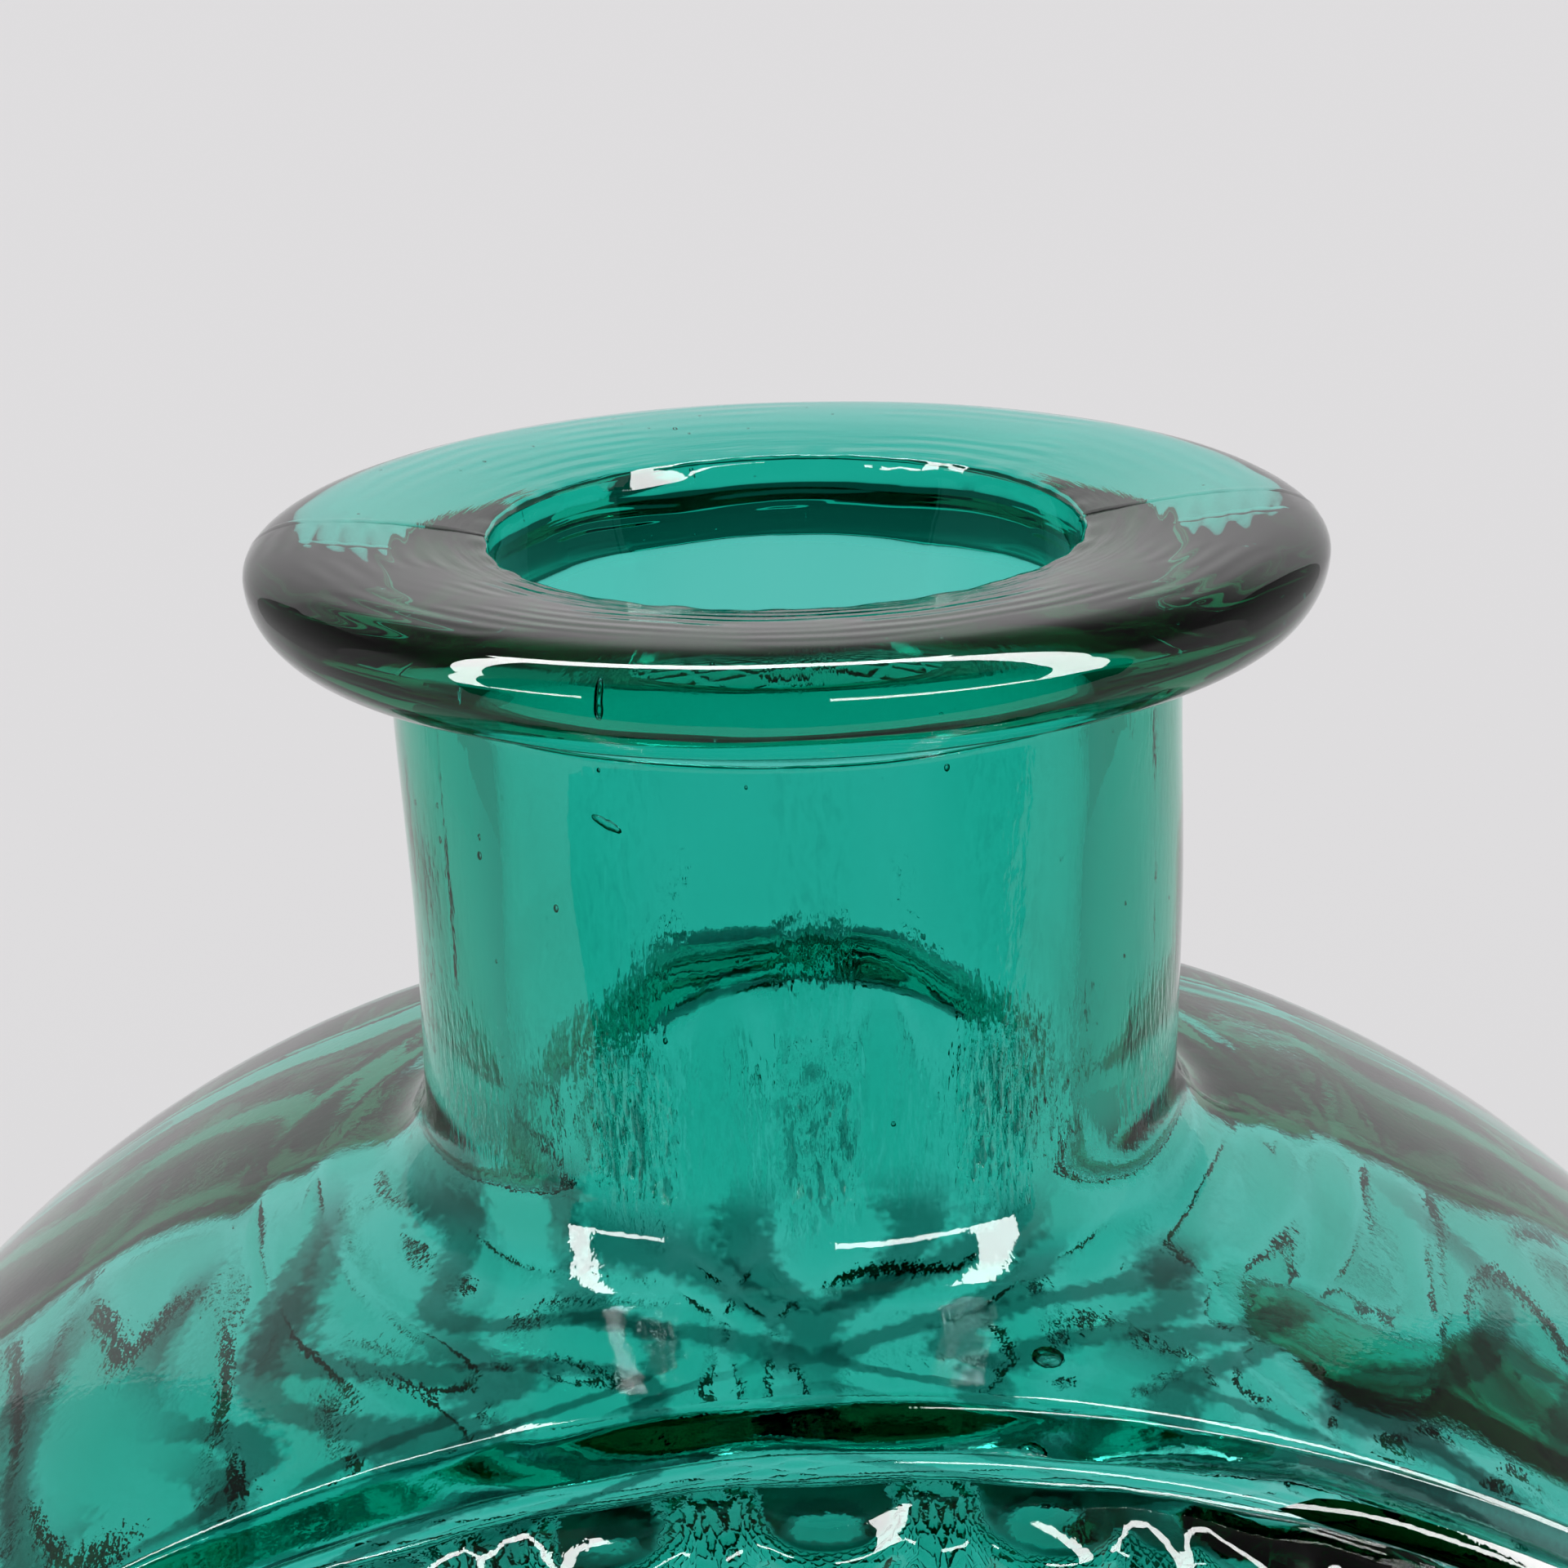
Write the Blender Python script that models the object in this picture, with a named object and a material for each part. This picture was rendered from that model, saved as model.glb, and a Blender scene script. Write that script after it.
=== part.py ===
"""Round, flat, mould-blown glass bottle with a short wide neck and a broad flanged lip.

The body is a thick disc standing on edge. Its axis runs along Y, the neck rises along +Z, and the
front face looks along -Y. The origin is the middle of the foot, at the level the bottle stands on.
Both round faces are raised panels with a plain quilt of tall diamond cushions. The real bottle is one
piece of glass; here each formed stretch of it is a solid of its own, and all of them meet on flat faces.
"""

import math

import bmesh
import bpy

MM = 0.001

# Body: a crowned band between two round faces, cut flat at the foot
BODY_RADIUS = 71.5 * MM
BODY_HALF_DEPTH = 26.5 * MM
BODY_WALL = 2.5 * MM
SHOULDER_FALL = 2.7 * MM
HOLLOW_FALL = 5.0 * MM
FACE_EDGE_ROUND = 0.6 * MM
FACE_BORDER = 2.2 * MM
INNER_CORNER_ROUND = 3.0 * MM

# Neck and mouth; the bore is a little narrower in the lip than in the neck, and opens into a wide throat
NECK_RADIUS = 18.6 * MM
NECK_WALL = 4.6 * MM
NECK_FILLET = 3.0 * MM
NECK_FILLET_SINK = 0.2 * MM
THROAT_REACH = 7.0 * MM
THROAT_RISE = 7.0 * MM
THROAT_TURN = 60
MOUTH_OVER_SHOULDER = 27.8 * MM
BORE_RADIUS = 13.8 * MM
BORE_EDGE_ROUND = 0.4 * MM
BORE_LAND = 3.0 * MM

# Lip: a flange, dished on top, with a full rounded edge and an underside that slopes in to the neck
LIP_RADIUS = 25.0 * MM
LIP_EDGE_WIDTH = 3.0 * MM
LIP_EDGE_RISE = 1.6 * MM
LIP_EDGE_DROP = 3.1 * MM
LIP_DISH = 0.9 * MM
LIP_UNDER_TURN = 60
LIP_UNDER_FALL = 1.1 * MM
LIP_UNDER_SLOPE = 22
LIP_UNDER_FILLET = 1.0 * MM

# Face panels, each standing out from a shallow rebate of the band
PANEL_SEAT = 0.5 * MM
PANEL_CLEARANCE = 0.3 * MM
QUILT_BORDER = 0.6 * MM
QUILT_WIDTH = 9.0 * MM
QUILT_HEIGHT = 27.0 * MM
QUILT_RELIEF = 5.5 * MM
QUILT_GROOVE_RISE = 3.0 * MM
QUILT_PLUMPNESS = 0.7

# Base
BASE_THICKNESS = 4.0 * MM
FOOT_UNDER_PANEL = 1.5 * MM
FOOT_RIM = 6.0 * MM
FOOT_RECESS = 1.0 * MM

# Helpers of the construction
CUT_OVERRUN = 2.0 * MM
WELD_DISTANCE = 0.001 * MM
TURN_STEPS = 60
HALF_STEP = 0.5
ROUND_STEPS = 3
LIP_ROUND_STEPS = 4
BAND_STEPS = 7
HOLLOW_STEPS = 5
QUILT_STEPS = 3

# Derived sizes
PANEL_RADIUS = BODY_RADIUS - SHOULDER_FALL - FACE_EDGE_ROUND - FACE_BORDER
INNER_HALF_DEPTH = BODY_HALF_DEPTH - PANEL_SEAT
NECK_INNER_RADIUS = NECK_RADIUS - NECK_WALL
FILLET_ROOM = BODY_HALF_DEPTH - FACE_EDGE_ROUND - NECK_RADIUS
FILLET_REACH = min(NECK_FILLET, FILLET_ROOM)

# Levels above the body's axis
FOOT_LEVEL = -PANEL_RADIUS - FOOT_UNDER_PANEL
FLOOR_LEVEL = FOOT_LEVEL + BASE_THICKNESS
HOLLOW_TOP = BODY_RADIUS - BODY_WALL
THROAT_CENTRE = math.sqrt(HOLLOW_TOP**2 - (NECK_INNER_RADIUS + THROAT_REACH) ** 2) + THROAT_RISE
ROOT_LEVEL = BODY_RADIUS + NECK_FILLET
MOUTH_LEVEL = BODY_RADIUS + MOUTH_OVER_SHOULDER

# Levels above the edge of the bore, which is the mouth's plane
LIP_EDGE_LEVEL = LIP_DISH - LIP_EDGE_RISE
LIP_BOTTOM_LEVEL = LIP_EDGE_LEVEL - LIP_EDGE_DROP - LIP_UNDER_FALL - LIP_UNDER_FILLET
NECK_BOTTOM_LEVEL = ROOT_LEVEL - MOUTH_LEVEL

GLASS_COLOUR = (0.07, 0.49, 0.38, 1.0)
GLASS_ROUGHNESS = 0.02
GLASS_IOR = 1.52
SMOOTH_ANGLE = math.radians(30)


def glass(name):
    """Clear sea-green glass, one material for each node."""
    material = bpy.data.materials.new(name + "_glass")
    material.use_nodes = True
    shader = material.node_tree.nodes["Principled BSDF"]
    shader.inputs["Base Color"].default_value = GLASS_COLOUR
    shader.inputs["Roughness"].default_value = GLASS_ROUGHNESS
    shader.inputs["Metallic"].default_value = 0.0
    shader.inputs["IOR"].default_value = GLASS_IOR
    shader.inputs["Transmission Weight"].default_value = 1.0
    return material


def anchor(name, height):
    """An empty on the bottle's upright axis that carries the pieces measured from it."""
    empty = bpy.data.objects.new(name, None)
    empty.location = (0.0, 0.0, height)
    bpy.context.scene.collection.objects.link(empty)
    return empty


def finished(name, bm, parent):
    """Turns the mesh's faces outward and puts it in the scene under its anchor."""
    bmesh.ops.remove_doubles(bm, verts=bm.verts, dist=WELD_DISTANCE)
    bmesh.ops.recalc_face_normals(bm, faces=bm.faces)
    mesh = bpy.data.meshes.new(name)
    bm.to_mesh(mesh)
    bm.free()
    mesh.shade_smooth()
    mesh.set_sharp_from_angle(angle=SMOOTH_ANGLE)
    obj = bpy.data.objects.new(name, mesh)
    obj.parent = parent
    bpy.context.scene.collection.objects.link(obj)
    return obj


def piece(name, bm, parent):
    """A stretch of glass that becomes a node."""
    obj = finished(name, bm, parent)
    obj.data.materials.append(glass(name))
    return obj


def cutter(name, bm, parent):
    """A helper that only takes part in Booleans."""
    obj = finished(name, bm, parent)
    obj.hide_render = True
    obj.display_type = "WIRE"
    return obj


def combine(obj, other, operation):
    modifier = obj.modifiers.new(other.name, "BOOLEAN")
    modifier.operation = operation
    modifier.solver = "EXACT"
    modifier.object = other


def about_z(radius, level, angle):
    return (radius * math.sin(angle), -radius * math.cos(angle), level)


def about_y(radius, depth, angle):
    return (radius * math.sin(angle), depth, radius * math.cos(angle))


def turn_angles(offset=0.0):
    """Angles of one full turn in equal steps, all moved on by a share of a step."""
    return [2 * math.pi * (step + offset) / TURN_STEPS for step in range(TURN_STEPS)]


def bridged(rows, closed_rows):
    """Quads between each row of points and the next, and from the last row to the first."""
    bm = bmesh.new()
    grid = [[bm.verts.new(point) for point in row] for row in rows]
    for row, following in zip(grid, grid[1:] + grid[:1]):
        spans = len(row) if closed_rows else len(row) - 1
        for i in range(spans):
            j = (i + 1) % len(row)
            bm.faces.new((row[i], row[j], following[j], following[i]))
    return bm


def turned(outline, place, offset=0.0):
    """A closed outline of (radius, along) points, turned once round its axis."""
    angles = turn_angles(offset)
    return bridged([[place(r, a, angle) for r, a in outline] for angle in angles], True)


def block(low, high):
    """A box between two corners."""
    bm = bmesh.new()
    bmesh.ops.create_cube(bm, size=1.0)
    for vert in bm.verts:
        vert.co = [(a + b) / 2 + (b - a) * c for a, b, c in zip(low, high, vert.co)]
    return bm


def arc(centre, radii, start, end, steps):
    """Points of an elliptical arc round centre, from one angle to another in degrees."""
    turns = [math.radians(start + (end - start) * step / steps) for step in range(steps + 1)]
    return [(centre[0] + radii[0] * math.cos(t), centre[1] + radii[1] * math.sin(t)) for t in turns]


def band_radius(depth, crest, fall, half_depth, corner):
    """Radius of a crowned band at a depth from its middle, rounded off at both ends."""
    depth = min(abs(depth), half_depth)
    radius = crest - fall * (depth / BODY_HALF_DEPTH) ** 2
    into_corner = max(depth - (half_depth - corner), 0.0)
    return radius - corner + math.sqrt(max(corner**2 - into_corner**2, 0.0))


def band(crest, fall, half_depth, corner, steps):
    """Outline of a crowned band from front to rear, as (radius, depth) points."""
    straight = half_depth - corner
    turns = [math.radians(90.0 * step / ROUND_STEPS) for step in range(ROUND_STEPS)]
    corner_depths = [straight + corner * math.cos(turn) for turn in turns]
    depths = [-depth for depth in corner_depths]
    depths += [straight * (2 * step / steps - 1) for step in range(steps + 1)]
    depths += corner_depths[::-1]
    return [(band_radius(depth, crest, fall, half_depth, corner), depth) for depth in depths]


def outer_band():
    return band(BODY_RADIUS, SHOULDER_FALL, BODY_HALF_DEPTH, FACE_EDGE_ROUND, BAND_STEPS)


def inner_band():
    return band(HOLLOW_TOP, HOLLOW_FALL, INNER_HALF_DEPTH, INNER_CORNER_ROUND, HOLLOW_STEPS)


def shoulder_height(x, y):
    """Height of the body's outside above its axis, over a point of the plan."""
    radius = band_radius(y, BODY_RADIUS, SHOULDER_FALL, BODY_HALF_DEPTH, FACE_EDGE_ROUND)
    return math.sqrt(radius**2 - x**2)


def lip_flange(mouth):
    """The broad lip: dished top, round edge, sloping underside and a fillet down to the neck."""
    edge_centre = (LIP_RADIUS - LIP_EDGE_WIDTH, LIP_EDGE_LEVEL)
    bore_edge = (BORE_RADIUS + BORE_EDGE_ROUND, -BORE_EDGE_ROUND)
    under_fillet = (NECK_RADIUS + LIP_UNDER_FILLET, LIP_BOTTOM_LEVEL)
    outline = [(NECK_INNER_RADIUS, LIP_BOTTOM_LEVEL), (BORE_RADIUS, -BORE_LAND)]
    outline += arc(bore_edge, (BORE_EDGE_ROUND, BORE_EDGE_ROUND), 180, 90, 1)
    outline += arc(edge_centre, (LIP_EDGE_WIDTH, LIP_EDGE_RISE), 90, 0, LIP_ROUND_STEPS)
    outline += arc(edge_centre, (LIP_EDGE_WIDTH, LIP_EDGE_DROP), 0, -LIP_UNDER_TURN, LIP_ROUND_STEPS)[1:]
    under_start = 90 + LIP_UNDER_SLOPE
    outline += arc(under_fillet, (LIP_UNDER_FILLET, LIP_UNDER_FILLET), under_start, 180, ROUND_STEPS)
    return piece("lip_flange", turned(outline, about_z), mouth)


def neck(mouth):
    """The straight tube between the lip and the root."""
    outline = [
        (NECK_RADIUS, LIP_BOTTOM_LEVEL),
        (NECK_RADIUS, NECK_BOTTOM_LEVEL),
        (NECK_INNER_RADIUS, NECK_BOTTOM_LEVEL),
        (NECK_INNER_RADIUS, LIP_BOTTOM_LEVEL),
    ]
    return piece("neck", turned(outline, about_z, HALF_STEP), mouth)


def root_collar(axis):
    """The flare that spreads the neck into the shoulder, following the shoulder's own curve."""
    quarter = [math.radians(90.0 * step / ROUND_STEPS) for step in range(ROUND_STEPS + 1)]
    radii = [NECK_RADIUS + FILLET_REACH * (1 - math.sin(turn)) for turn in quarter]
    rises = [NECK_FILLET * (1 - math.cos(turn)) - NECK_FILLET_SINK for turn in quarter]
    half_wall = BODY_WALL / 2
    columns = []
    for angle in turn_angles(HALF_STEP):
        places = [about_z(radius, 0.0, angle) for radius in radii]
        foot_x, foot_y, _ = places[0]
        column = [(0.0, 0.0, BODY_RADIUS - half_wall)]
        column.append((foot_x, foot_y, shoulder_height(foot_x, foot_y) - half_wall))
        column += [(x, y, shoulder_height(x, y) + rise) for (x, y, _), rise in zip(places, rises)]
        column.append(about_z(NECK_RADIUS, ROOT_LEVEL, angle))
        column.append((0.0, 0.0, ROOT_LEVEL))
        columns.append(column)
    return cutter("root_collar", bridged(columns, False), axis)


def throat(axis):
    """What is bored out of the shoulder below the neck, widening into the hollow."""
    top = ROOT_LEVEL + CUT_OVERRUN
    low = HOLLOW_TOP - NECK_INNER_RADIUS
    centre = (NECK_INNER_RADIUS + THROAT_REACH, THROAT_CENTRE)
    flare = arc(centre, (THROAT_REACH, THROAT_RISE), 180, 180 + THROAT_TURN, ROUND_STEPS)
    outline = [(0.0, top), (NECK_INNER_RADIUS, top)] + flare + [(flare[-1][0], low), (0.0, low)]
    return cutter("throat", turned(outline, about_z, HALF_STEP), axis)


def shell_outline():
    """Cross-section of the band, with a shallow rebate for a panel in each face."""
    front = [(PANEL_RADIUS, -INNER_HALF_DEPTH), (PANEL_RADIUS, -BODY_HALF_DEPTH)]
    rear = [(PANEL_RADIUS, BODY_HALF_DEPTH), (PANEL_RADIUS, INNER_HALF_DEPTH)]
    return front + outer_band() + rear + inner_band()[::-1]


def half_shell(name, axis, side, collar, bore):
    """One mould half of the band, shoulder and neck root, from the floor up to the neck."""
    shell = piece(name, turned(shell_outline(), about_y), axis)
    reach = BODY_RADIUS + CUT_OVERRUN
    depths = sorted((0.0, side * (BODY_HALF_DEPTH + CUT_OVERRUN)))
    low = (-reach, depths[0], FLOOR_LEVEL)
    high = (reach, depths[1], ROOT_LEVEL + CUT_OVERRUN)
    combine(shell, collar, "UNION")
    combine(shell, bore, "DIFFERENCE")
    combine(shell, cutter(name + "_side", block(low, high), axis), "INTERSECT")
    return shell


def foot_recess(axis):
    """The shallow hollow under the foot, inside its standing rim."""
    half_length = math.sqrt(BODY_RADIUS**2 - FOOT_LEVEL**2) - FOOT_RIM
    stretch = (BODY_HALF_DEPTH - FOOT_RIM) / half_length
    outline = [(0.0, -FOOT_RECESS), (half_length, -FOOT_RECESS)]
    outline += [(half_length, FOOT_RECESS), (0.0, FOOT_RECESS)]
    bm = turned(outline, about_z)
    for vert in bm.verts:
        vert.co.y *= stretch
        vert.co.z += FOOT_LEVEL
    return cutter("foot_recess", bm, axis)


def base(axis):
    """The flat bottom of the bottle under the hollow, cut from the body's own outline."""
    outline = [(0.0, -INNER_HALF_DEPTH), (PANEL_RADIUS, -INNER_HALF_DEPTH)]
    outline += [(PANEL_RADIUS, -BODY_HALF_DEPTH)] + outer_band() + [(PANEL_RADIUS, BODY_HALF_DEPTH)]
    outline += [(PANEL_RADIUS, INNER_HALF_DEPTH), (0.0, INNER_HALF_DEPTH)]
    obj = piece("base", turned(outline, about_y), axis)
    reach = BODY_RADIUS + CUT_OVERRUN
    slab = block((-reach, -reach, FOOT_LEVEL), (reach, reach, FLOOR_LEVEL))
    combine(obj, cutter("base_slab", slab, axis), "INTERSECT")
    combine(obj, foot_recess(axis), "DIFFERENCE")
    return obj


def quilt_rise(rise, fall):
    """Height of a cushion as a share of its swell, from its place along both diagonals."""
    return abs(math.sin(math.pi * rise) * math.sin(math.pi * fall)) ** QUILT_PLUMPNESS


def quilt_slab(name, axis, side):
    """A slab of diamond cushions, wider and thicker than the panel cut from it."""
    groove = BODY_HALF_DEPTH + QUILT_GROOVE_RISE
    swell = QUILT_RELIEF - QUILT_GROOVE_RISE
    cells = math.ceil(PANEL_RADIUS / QUILT_WIDTH + PANEL_RADIUS / QUILT_HEIGHT)
    marks = [step / QUILT_STEPS - cells for step in range(2 * cells * QUILT_STEPS + 1)]
    bm = bmesh.new()
    rows = []
    for rise in marks:
        row = []
        for fall in marks:
            across = (rise + fall) / 2 * QUILT_WIDTH
            up = (rise - fall) / 2 * QUILT_HEIGHT
            depth = side * (groove + swell * quilt_rise(rise, fall))
            row.append(bm.verts.new((across, depth, up)))
        rows.append(row)
    for row, following in zip(rows, rows[1:]):
        for i in range(len(row) - 1):
            bm.faces.new((row[i], row[i + 1], following[i + 1], following[i]))
    border = [edge for edge in bm.edges if edge.is_boundary]
    for item in bmesh.ops.extrude_edge_only(bm, edges=border)["geom"]:
        if isinstance(item, bmesh.types.BMVert):
            item.co.y = side * (INNER_HALF_DEPTH - CUT_OVERRUN)
    bmesh.ops.holes_fill(bm, edges=[edge for edge in bm.edges if edge.is_boundary])
    return cutter(name, bm, axis)


def panel(name, axis, side):
    """A round face of the body: a disc in its rebate, with the quilt on its outside."""
    rim = PANEL_RADIUS - PANEL_CLEARANCE
    quilt_radius = rim - QUILT_BORDER
    inner = side * INNER_HALF_DEPTH
    outer = side * BODY_HALF_DEPTH
    crown = outer + side * (QUILT_RELIEF + CUT_OVERRUN)
    outline = [(0.0, inner), (rim, inner), (rim, outer)]
    outline += [(quilt_radius, outer), (quilt_radius, crown), (0.0, crown)]
    obj = piece(name, turned(outline, about_y), axis)
    combine(obj, quilt_slab(name + "_quilt", axis, side), "INTERSECT")
    return obj


def main():
    for obj in list(bpy.data.objects):
        bpy.data.objects.remove(obj)
    axis = anchor("body_axis", -FOOT_LEVEL)
    mouth = anchor("mouth_plane", MOUTH_LEVEL - FOOT_LEVEL)
    lip_flange(mouth)
    neck(mouth)
    collar = root_collar(axis)
    bore = throat(axis)
    half_shell("front_half_shell", axis, -1, collar, bore)
    half_shell("rear_half_shell", axis, 1, collar, bore)
    panel("front_panel", axis, -1)
    panel("rear_panel", axis, 1)
    base(axis)


main()
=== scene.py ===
"""Looks of the round, flat glass bottle: the glass itself, a pale stage and the camera.

The bottle is one piece of blown glass, so one closed mesh stands for every node of the frame. It has
an outer skin and an inner skin that meet at the edge of the bore, and it carries the ripples, the
mould seam, the beads and the bubbles of the glass. Both faces have the same quilt as the solids.
"""

import math
import random
from collections import namedtuple

import bmesh
import bpy
from mathutils import Matrix, Vector, noise
from mathutils.geometry import delaunay_2d_cdt


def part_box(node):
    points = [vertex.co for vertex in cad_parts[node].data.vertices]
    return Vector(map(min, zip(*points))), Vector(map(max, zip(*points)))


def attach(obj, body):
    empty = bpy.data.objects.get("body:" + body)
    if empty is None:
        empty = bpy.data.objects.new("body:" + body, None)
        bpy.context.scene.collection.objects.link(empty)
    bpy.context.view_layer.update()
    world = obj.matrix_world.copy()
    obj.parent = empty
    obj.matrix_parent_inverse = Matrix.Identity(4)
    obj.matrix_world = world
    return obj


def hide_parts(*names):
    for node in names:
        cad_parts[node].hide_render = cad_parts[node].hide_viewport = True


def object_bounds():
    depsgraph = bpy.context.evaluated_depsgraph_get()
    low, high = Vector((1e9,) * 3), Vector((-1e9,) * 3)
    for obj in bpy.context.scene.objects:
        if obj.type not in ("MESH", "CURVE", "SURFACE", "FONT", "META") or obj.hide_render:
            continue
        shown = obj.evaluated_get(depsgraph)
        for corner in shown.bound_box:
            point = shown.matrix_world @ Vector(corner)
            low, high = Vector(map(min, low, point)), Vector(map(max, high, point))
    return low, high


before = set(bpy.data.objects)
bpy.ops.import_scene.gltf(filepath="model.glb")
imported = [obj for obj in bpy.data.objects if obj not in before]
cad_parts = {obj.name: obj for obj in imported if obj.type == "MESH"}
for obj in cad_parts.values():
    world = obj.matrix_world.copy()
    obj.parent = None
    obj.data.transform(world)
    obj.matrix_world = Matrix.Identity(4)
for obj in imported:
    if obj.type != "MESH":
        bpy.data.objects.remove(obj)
CAD_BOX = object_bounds()

MM = 0.001
RIPPLE_ROOM = 0.03 * MM

# Sizes of the bottle that the frame gives
SHELL_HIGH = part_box("front_half_shell")[1]
PANEL_LOW, PANEL_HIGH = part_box("front_panel")
BASE_LOW, BASE_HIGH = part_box("base")
LIP_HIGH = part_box("lip_flange")[1]
BODY_RADIUS = SHELL_HIGH.x - RIPPLE_ROOM
BODY_HALF_DEPTH = -BASE_LOW.y
BODY_AXIS = (PANEL_LOW.z + PANEL_HIGH.z) / 2
NECK_ROOT = BODY_AXIS + BODY_RADIUS
FLOOR_LEVEL = BASE_HIGH.z
LIP_RADIUS = LIP_HIGH.x - RIPPLE_ROOM

# Body: a crowned band between two round faces
BODY_WALL = 2.5 * MM
SHOULDER_FALL = 2.7 * MM
HOLLOW_FALL = 5.0 * MM
FACE_EDGE_ROUND = 0.6 * MM
PANEL_SEAT = 0.5 * MM
INNER_CORNER_ROUND = 3.0 * MM
FLOOR_ROUND = 3.0 * MM

# Neck and bore
NECK_RADIUS = 18.6 * MM
NECK_WALL = 4.6 * MM
NECK_FILLET = 3.0 * MM
THROAT_RADIUS = NECK_RADIUS - NECK_WALL
THROAT_REACH = 7.0 * MM
THROAT_RISE = 7.0 * MM
BORE_RADIUS = 13.8 * MM
BORE_EDGE_ROUND = 0.4 * MM
BORE_LAND = 3.0 * MM
BORE_CONE = 9.0 * MM

# Lip
LIP_EDGE_WIDTH = 3.0 * MM
LIP_EDGE_RISE = 1.6 * MM
LIP_EDGE_DROP = 3.1 * MM
LIP_DISH = 0.9 * MM
LIP_UNDER_TURN = 60
LIP_UNDER_FALL = 1.1 * MM
LIP_UNDER_SLOPE = 22
LIP_UNDER_FILLET = 1.0 * MM
MOUTH = LIP_HIGH.z - LIP_DISH - RIPPLE_ROOM
LIP_EDGE_LEVEL = MOUTH + LIP_DISH - LIP_EDGE_RISE
LIP_BOTTOM = LIP_EDGE_LEVEL - LIP_EDGE_DROP - LIP_UNDER_FALL - LIP_UNDER_FILLET

# Quilt of the faces, up to the crown that the panels have
QUILT_RADIUS = 65.5 * MM
QUILT_WIDTH = 9.0 * MM
QUILT_HEIGHT = 27.0 * MM
QUILT_GROOVE_RISE = 3.0 * MM
QUILT_SWELL = -PANEL_LOW.y - BODY_HALF_DEPTH - QUILT_GROOVE_RISE - RIPPLE_ROOM
QUILT_PLUMPNESS = 0.7
QUILT_END_ROUND = 1.8 * MM
QUILT_END_SHARES = (0.03, 0.1, 0.22, 0.4, 0.65, 1.0)
QUILT_FINE_ABOVE = 52.0 * MM

# Foot
FOOT_RIM = 6.0 * MM
FOOT_RECESS = 1.0 * MM
FOOT_RECESS_SLOPE = 2.0 * MM

# Directions of an outline's arcs, in degrees from straight out
OUTWARD = 0
UPWARD = 90
INWARD = 180

# How finely the mesh is divided
TUBE_TURN = math.radians(1.6)
SEAM_TURN = math.radians(0.2)
SEAM_SPAN = math.radians(2.4)
EDGE_STEPS = 4
DISH_STEPS = 22
LIP_ROUND_STEPS = 11
FILLET_STEPS = 6
CONE_STEPS = 6
NECK_STEPS = 30
LAND_STEPS = 6
THROAT_STEPS = 7
NEAR_SHARE = 0.45
WINDOW_MARGIN = 2.5 * MM
HOLE_MARGIN = 0.45 * MM
DISC_MARGIN = 0.5 * MM
FACE_RIM_STEPS = 3
FLAT_STEP = 2.4 * MM
TRIANGLE_RISE = math.sqrt(0.75)
FRONT_DIVISIONS = (10, 30)
REAR_DIVISIONS = (8, 8)
CDT_TOLERANCE = 1e-5

Drum = namedtuple("Drum", "crest fall half_depth corner floor floor_round columns rows corner_rows hole")
OUTER = Drum(
    crest=BODY_RADIUS,
    fall=SHOULDER_FALL,
    half_depth=BODY_HALF_DEPTH,
    corner=FACE_EDGE_ROUND,
    floor=0.0,
    floor_round=0.0,
    columns=300,
    rows=42,
    corner_rows=4,
    hole=NECK_RADIUS + NECK_FILLET,
)
INNER = Drum(
    crest=BODY_RADIUS - BODY_WALL,
    fall=HOLLOW_FALL,
    half_depth=BODY_HALF_DEPTH - PANEL_SEAT,
    corner=INNER_CORNER_ROUND,
    floor=FLOOR_LEVEL,
    floor_round=FLOOR_ROUND,
    columns=320,
    rows=56,
    corner_rows=6,
    hole=THROAT_RADIUS + THROAT_REACH,
)

# Waviness of the outer skin: how high, how long along each axis, and where its noise starts
LIP_SWELL = 0.03 * MM
LIP_SWELL_LENGTHS = (9.0 * MM,) * 3
LIP_SWELL_SEED = 1.0
LIP_RIPPLE = 0.02 * MM
LIP_RIPPLE_PITCH = 1.3 * MM
LIP_RIPPLE_WANDER = 0.6 * MM
LIP_RIPPLE_WANDER_SEED = 5.0
LIP_RIPPLE_PATCH_SEED = 9.0
NECK_SWELL = 0.28 * MM
NECK_SWELL_LENGTHS = (9.0 * MM, 9.0 * MM, 14.0 * MM)
NECK_SWELL_SEED = 2.0
NECK_STREAK = 0.015 * MM
NECK_STREAK_LENGTHS = (1.6 * MM, 1.6 * MM, 6.0 * MM)
NECK_STREAK_SEED = 3.0
BODY_SWELL = 0.08 * MM
BODY_SWELL_LENGTHS = (12.0 * MM,) * 3
BODY_SWELL_SEED = 4.0
BODY_PEEL = 0.02 * MM
BODY_PEEL_LENGTHS = (2.4 * MM,) * 3
BODY_PEEL_SEED = 6.0
BEAD_RISE = 0.1 * MM
BEAD_REACH = 0.7 * MM
BEAD_LENGTHS = (1.4 * MM,) * 3
BEAD_SEED = 8.0
SEAM_RISE = 0.14 * MM
SEAM_WIDTH = 0.11 * MM
SEAM_FADE = 0.6
SEAM_WANDER = 0.4 * MM
SEAM_WANDER_LENGTHS = (8.0 * MM,) * 3
SEAM_WANDER_SEED = 7.0

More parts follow.
